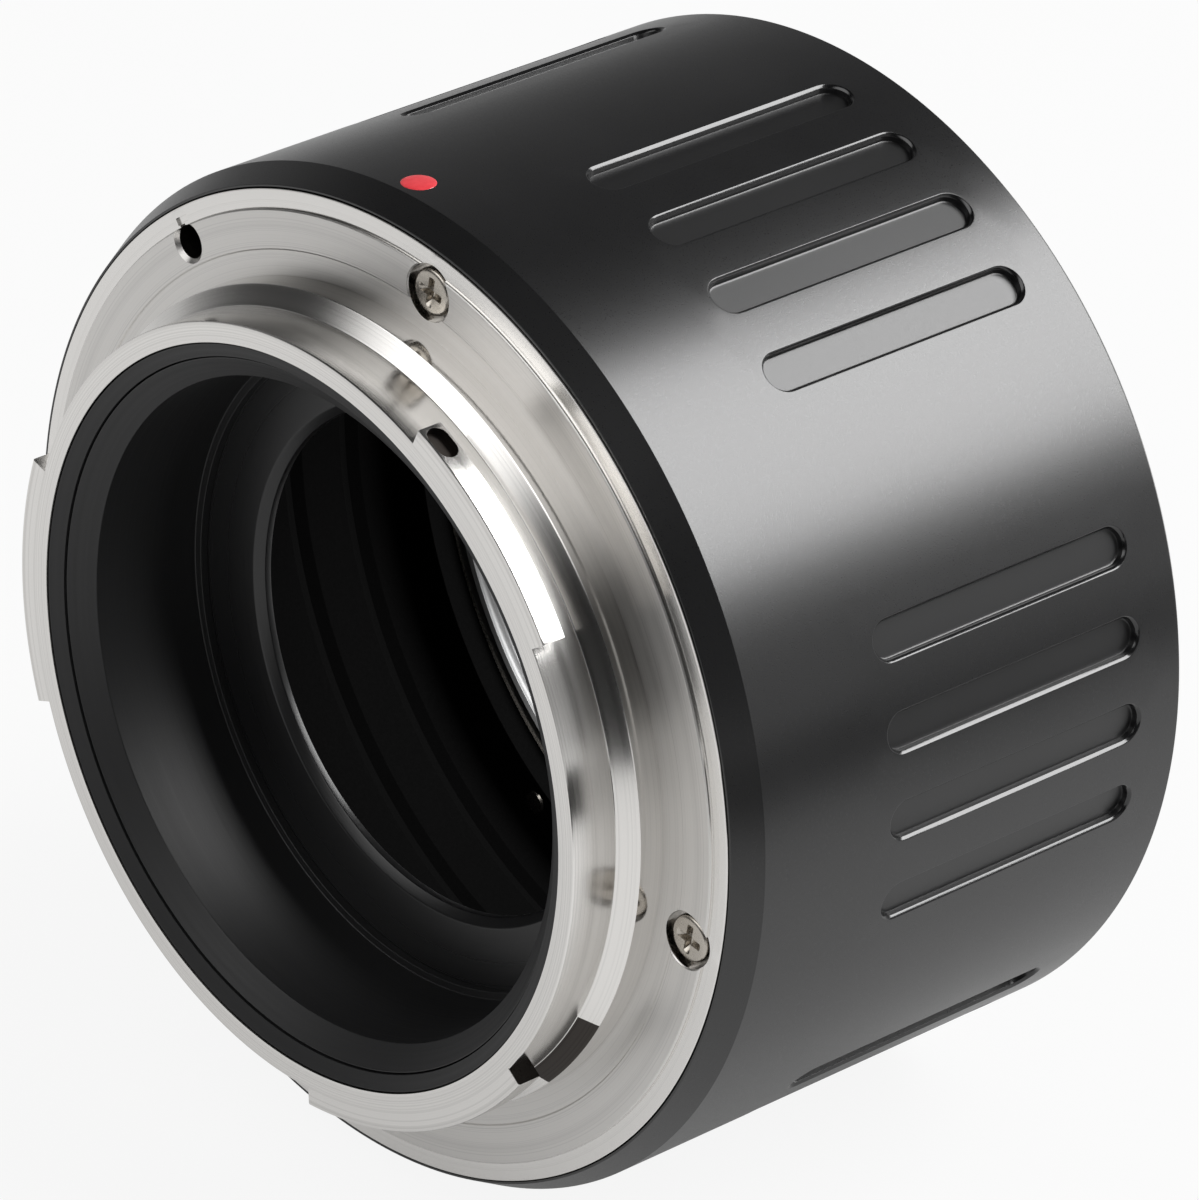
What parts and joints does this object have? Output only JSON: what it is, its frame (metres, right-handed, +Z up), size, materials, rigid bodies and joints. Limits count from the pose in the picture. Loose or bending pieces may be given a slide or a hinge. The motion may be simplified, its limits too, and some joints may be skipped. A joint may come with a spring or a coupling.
{
  "type": "rear mount tube of an anamorphic cinema lens",
  "caption": "Black lens mount tube: three-lug chrome bayonet for a camera at one end, a light stop inside, finger slots outside, and a threaded seat for the lens at the other end.",
  "frame": {"origin": "on the optical axis, in the plane of the seat that meets the camera", "axes": "+Y along the optical axis from the camera to the lens, +Z up to the index mark, +X to the right as the camera sees the bayonet"},
  "size_m": [0.0674, 0.0443, 0.0675],
  "materials": {
    "chromed_brass": "turned and satin chromed",
    "shim_steel": "rolled",
    "screw_steel": "bright",
    "black_anodised_aluminium": "satin black anodised",
    "red_enamel": "glossy",
    "matt_black_aluminium": "matt black",
    "black_screw_steel": "black oxide",
    "bare_aluminium": "fine turned"
  },
  "bodies": {
    "root": {"bayonet_mount": "chromed_brass", "flange_shim_thick": "shim_steel", "flange_shim_thin": "shim_steel", "flange_screws": "screw_steel", "mount_dowel": "screw_steel", "barrel": "black_anodised_aluminium", "index_mark": "red_enamel", "mouth_baffle": "matt_black_aluminium", "baffle_tube": "matt_black_aluminium", "baffle_screws": "black_screw_steel", "light_stop": "matt_black_aluminium", "stop_retaining_ring": "matt_black_aluminium", "coupling_shim": "shim_steel", "coupling_ring": "bare_aluminium", "coupling_screws": "screw_steel"}
  },
  "joints": []
}
